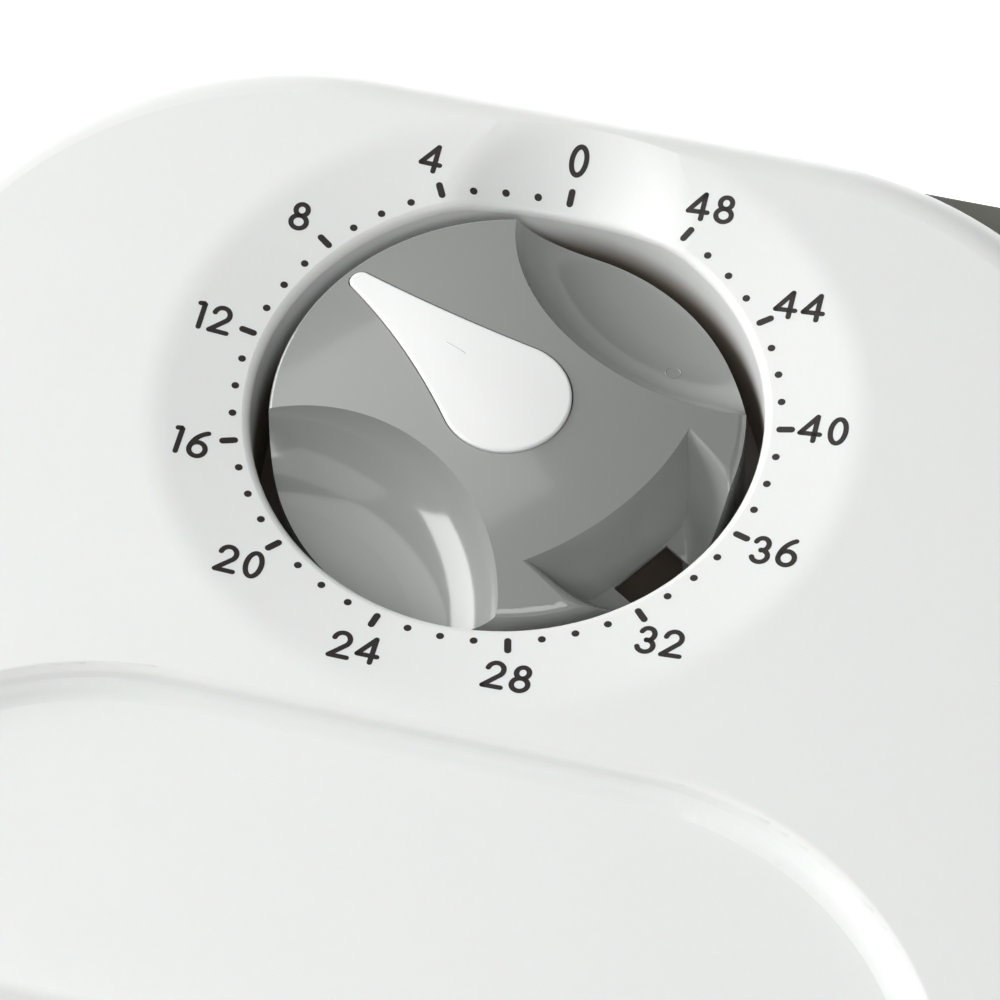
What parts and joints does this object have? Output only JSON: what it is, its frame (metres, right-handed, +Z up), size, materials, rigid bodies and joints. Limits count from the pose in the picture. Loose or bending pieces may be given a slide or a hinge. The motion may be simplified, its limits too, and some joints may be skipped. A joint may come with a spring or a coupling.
{
  "type": "dial timer",
  "caption": "Free-standing dial timer: a white cover with a dish-shaped scale and a grey knob with a pointer, over a dark tray that holds a battery movement.",
  "frame": {"origin": "on the surface it stands on, at the middle of the tray's outline", "axes": "+Z up along the knob's axis, +Y towards the 0 of the scale (the back), +X to the right seen from the front"},
  "size_m": [0.1444, 0.13, 0.0452],
  "materials": {
    "cover_white": "smooth satin gloss",
    "tray_grey": "fine spark-eroded texture",
    "knob_grey": "polished",
    "pointer_white": "polished",
    "foot_rubber": "matt",
    "screw_steel": "zinc plated",
    "spring_steel": "bright",
    "wheel_acetal": "moulded acetal",
    "shaft_acetal": "moulded acetal",
    "cam_red": "moulded acetal",
    "case_black": "moulded",
    "pin_brass": "turned",
    "magnet_grey": "sintered",
    "motor_steel": "stamped",
    "winding_copper": "enamelled copper wire",
    "board_green": "solder mask",
    "chip_black": "moulded epoxy",
    "can_metal": "drawn can",
    "contact_nickel": "nickel plated",
    "battery_jacket": "plain printed jacket",
    "buzzer_brass": "rolled"
  },
  "bodies": {
    "case": {"top_cover": "cover_white", "base_tray": "tray_grey", "rubber_feet": "foot_rubber", "arbor_pins": "pin_brass", "stator_plate": "motor_steel", "coil_core": "motor_steel", "coil_bobbin": "wheel_acetal", "coil_winding": "winding_copper", "movement_case_bottom": "case_black", "movement_case_top": "case_black", "movement_screws": "screw_steel", "lever_pin": "screw_steel", "lever_spring": "spring_steel", "switch_block": "case_black", "switch_leaves": "buzzer_brass", "circuit_board": "board_green", "board_screws": "screw_steel", "timer_chip": "chip_black", "quartz_crystal": "can_metal", "buzzer_case": "chip_black", "buzzer_disc": "buzzer_brass", "battery_cell": "battery_jacket", "battery_contact_positive": "contact_nickel", "battery_contact_negative": "contact_nickel", "case_screws": "screw_steel"},
    "knob": {"knob": "knob_grey", "knob_pointer": "pointer_white", "output_shaft": "shaft_acetal", "trip_cam": "cam_red", "retaining_ring": "spring_steel", "clutch_spring": "spring_steel"},
    "output_wheel": {"output_wheel": "wheel_acetal"},
    "third_wheel": {"third_wheel": "wheel_acetal"},
    "second_wheel": {"second_wheel": "wheel_acetal"},
    "rotor": {"rotor": "wheel_acetal", "rotor_magnet": "magnet_grey"},
    "trip_lever": {"trip_lever": "wheel_acetal"},
    "battery_door": {"battery_door": "tray_grey"}
  },
  "joints": [
    {"name": "knob_turn", "type": "hinge", "parent": "case", "child": "knob", "pos_m": [0, 0.022, 0], "axis": [0, 0, 1], "range_deg": [-56.42, 275.88]},
    {"name": "output_wheel_turn", "type": "hinge", "parent": "case", "child": "output_wheel", "pos_m": [0, 0.022, 0], "axis": [0, 0, 1], "continuous": true},
    {"name": "third_wheel_turn", "type": "hinge", "parent": "case", "child": "third_wheel", "pos_m": [-0.01819, 0.0325, 0], "axis": [0, 0, 1], "continuous": true},
    {"name": "second_wheel_turn", "type": "hinge", "parent": "case", "child": "second_wheel", "pos_m": [-0.01953, 0.01575, 0], "axis": [0, 0, 1], "continuous": true},
    {"name": "rotor_turn", "type": "hinge", "parent": "case", "child": "rotor", "pos_m": [-0.0116, 0.0057, 0], "axis": [0, 0, 1], "continuous": true},
    {"name": "trip_lever_swing", "type": "hinge", "parent": "case", "child": "trip_lever", "pos_m": [0.0196, 0.005, 0], "axis": [0, 0, -1], "range_deg": [0, 8], "stiffness_Nm_per_rad": 0.01, "springref_deg": -11.46},
    {"name": "battery_door_hinge", "type": "hinge", "parent": "case", "child": "battery_door", "pos_m": [0, -0.02515, 0.00255], "axis": [1, 0, 0], "range_deg": [0, 105]}
  ],
  "couplings": [
    {"joint": "third_wheel_turn", "follows": "output_wheel_turn", "ratio": -6},
    {"joint": "second_wheel_turn", "follows": "output_wheel_turn", "ratio": 36},
    {"joint": "rotor_turn", "follows": "output_wheel_turn", "ratio": -156}
  ]
}
